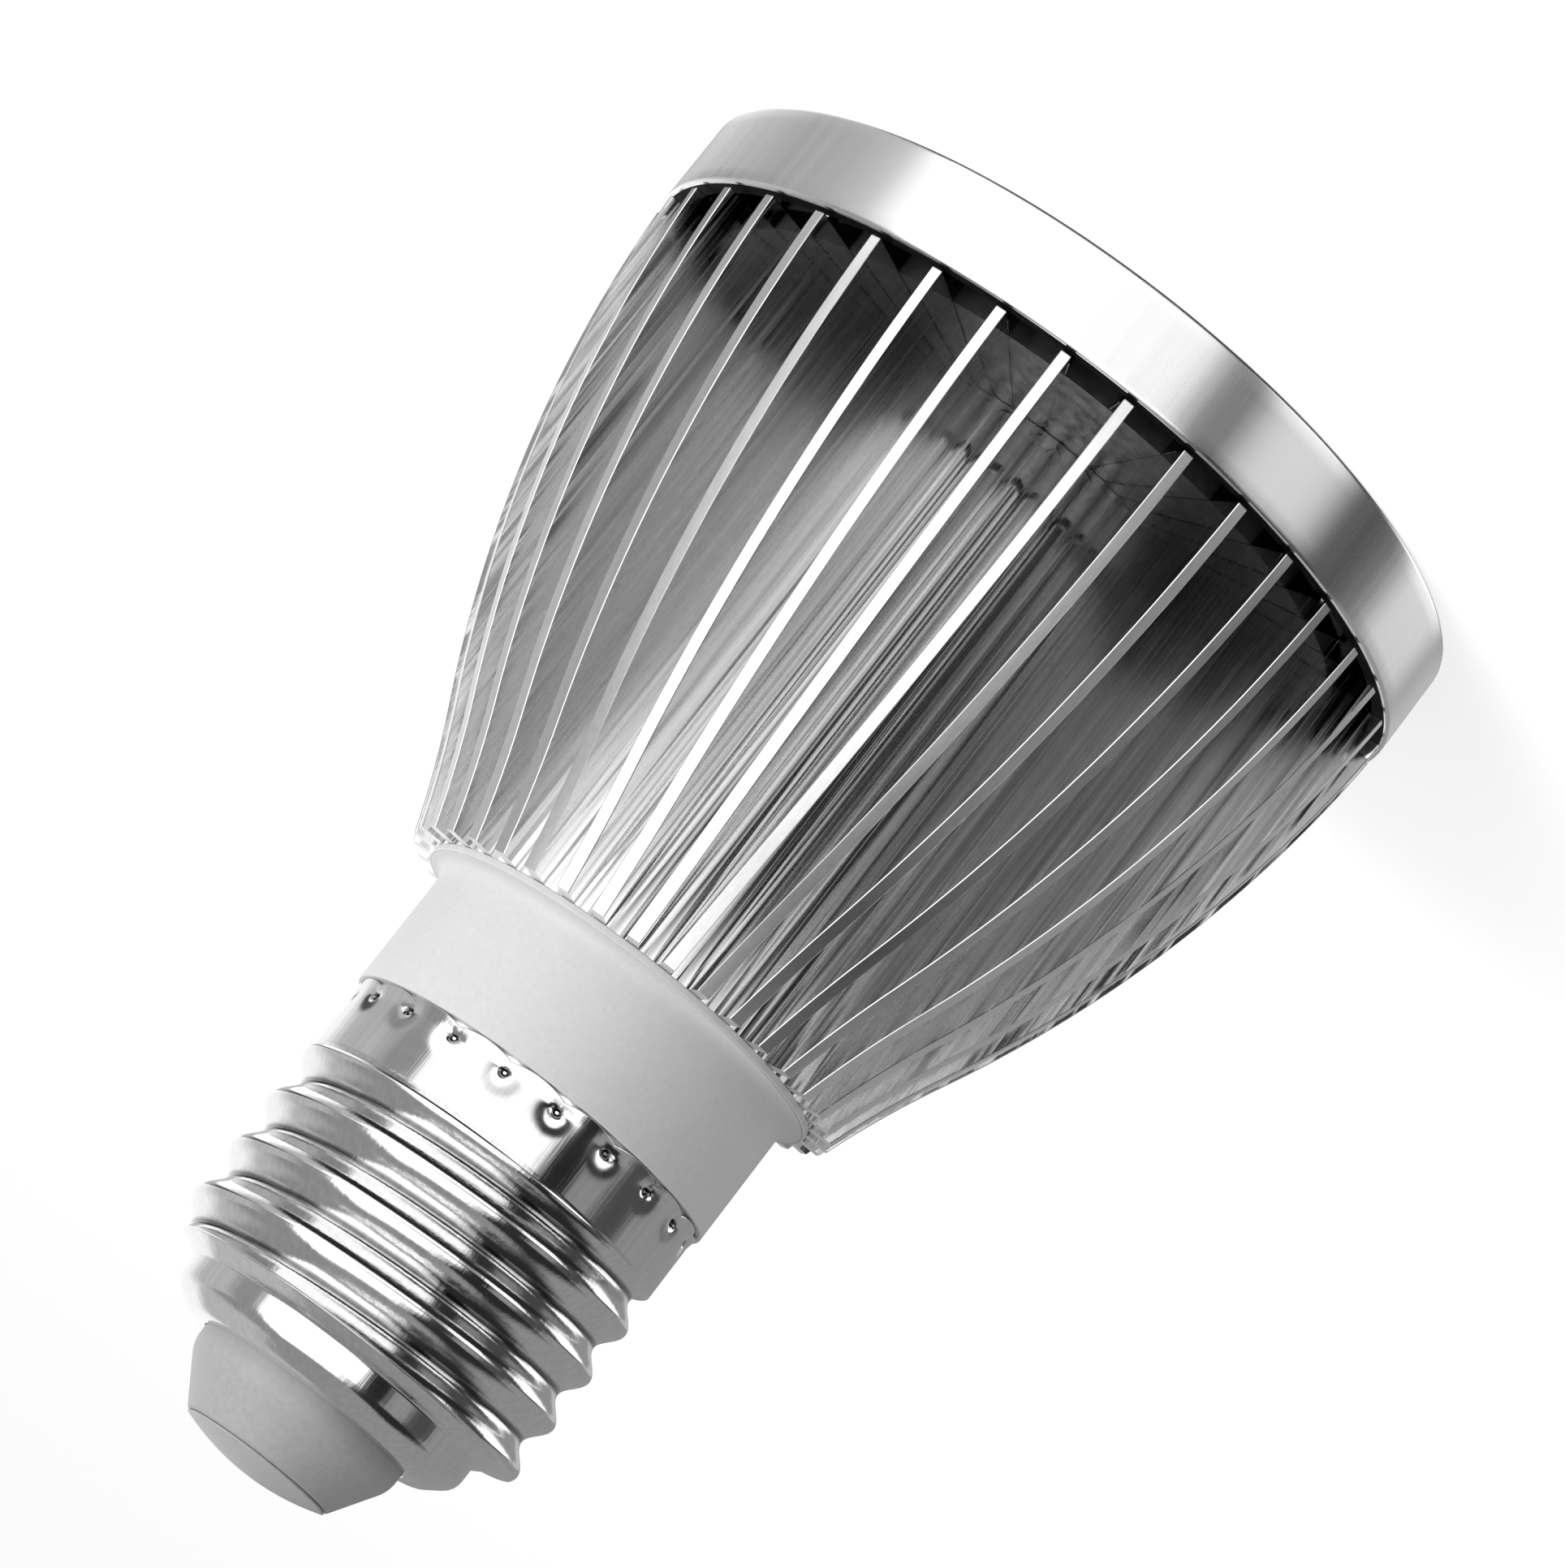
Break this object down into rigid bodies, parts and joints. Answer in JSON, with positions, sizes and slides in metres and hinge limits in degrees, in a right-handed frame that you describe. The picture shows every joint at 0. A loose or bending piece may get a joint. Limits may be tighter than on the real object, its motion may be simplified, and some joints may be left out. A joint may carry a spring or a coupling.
{
  "type": "led grow light bulb",
  "caption": "Compact LED grow lamp with a bell of turned aluminium cooling fins, a clear front window held by a ring, and an E27 screw cap",
  "frame": {"origin": "middle of the front ring's face, on which the lamp stands", "axes": "+Z along the lamp's axis from the ring face to the centre contact; the first fin lies on +X; the driver board's components face +Y"},
  "size_m": [0.0574, 0.0574, 0.0853],
  "materials": {
    "ring_aluminium": "turned and brushed",
    "fin_aluminium": "bright extruded sides, turned tips",
    "window_clear": "clear polished",
    "board_white": "white solder mask on a metal core",
    "emitter_red": "red tinted resin in a square package",
    "emitter_blue": "blue tinted resin in a square package",
    "screw_steel": "zinc plated",
    "collar_plastic": "satin grey moulding",
    "cap_nickel": "polished nickel plate",
    "insulator_plastic": "satin grey moulding",
    "contact_metal": "satin tinned",
    "driver_board_green": "green solder mask",
    "core_ferrite": "dull grey ferrite",
    "winding_tape": "yellow tape over the coil",
    "capacitor_sleeve": "shrunk plastic sleeve",
    "package_black": "moulded epoxy",
    "resistor_body": "dull lacquer",
    "lead_red": "plastic insulation",
    "lead_black": "plastic insulation"
  },
  "bodies": {
    "root": {"front_ring": "ring_aluminium", "front_window": "window_clear", "heat_sink": "fin_aluminium", "led_board": "board_white", "red_emitter_1": "emitter_red", "red_emitter_2": "emitter_red", "red_emitter_3": "emitter_red", "red_emitter_4": "emitter_red", "red_emitter_5": "emitter_red", "red_emitter_6": "emitter_red", "blue_emitter_1": "emitter_blue", "blue_emitter_2": "emitter_blue", "blue_emitter_3": "emitter_blue", "board_screws": "screw_steel", "neck_collar": "collar_plastic", "screw_shell": "cap_nickel", "cap_insulator": "insulator_plastic", "centre_contact": "contact_metal", "driver_board": "driver_board_green", "transformer_core": "core_ferrite", "transformer_winding": "winding_tape", "input_capacitor": "capacitor_sleeve", "output_capacitor": "capacitor_sleeve", "bridge_rectifier": "package_black", "driver_chip": "package_black", "fuse_resistor": "resistor_body", "live_lead": "lead_red", "neutral_lead": "lead_black", "led_lead_negative": "lead_black", "led_lead_positive": "lead_red"}
  },
  "joints": []
}
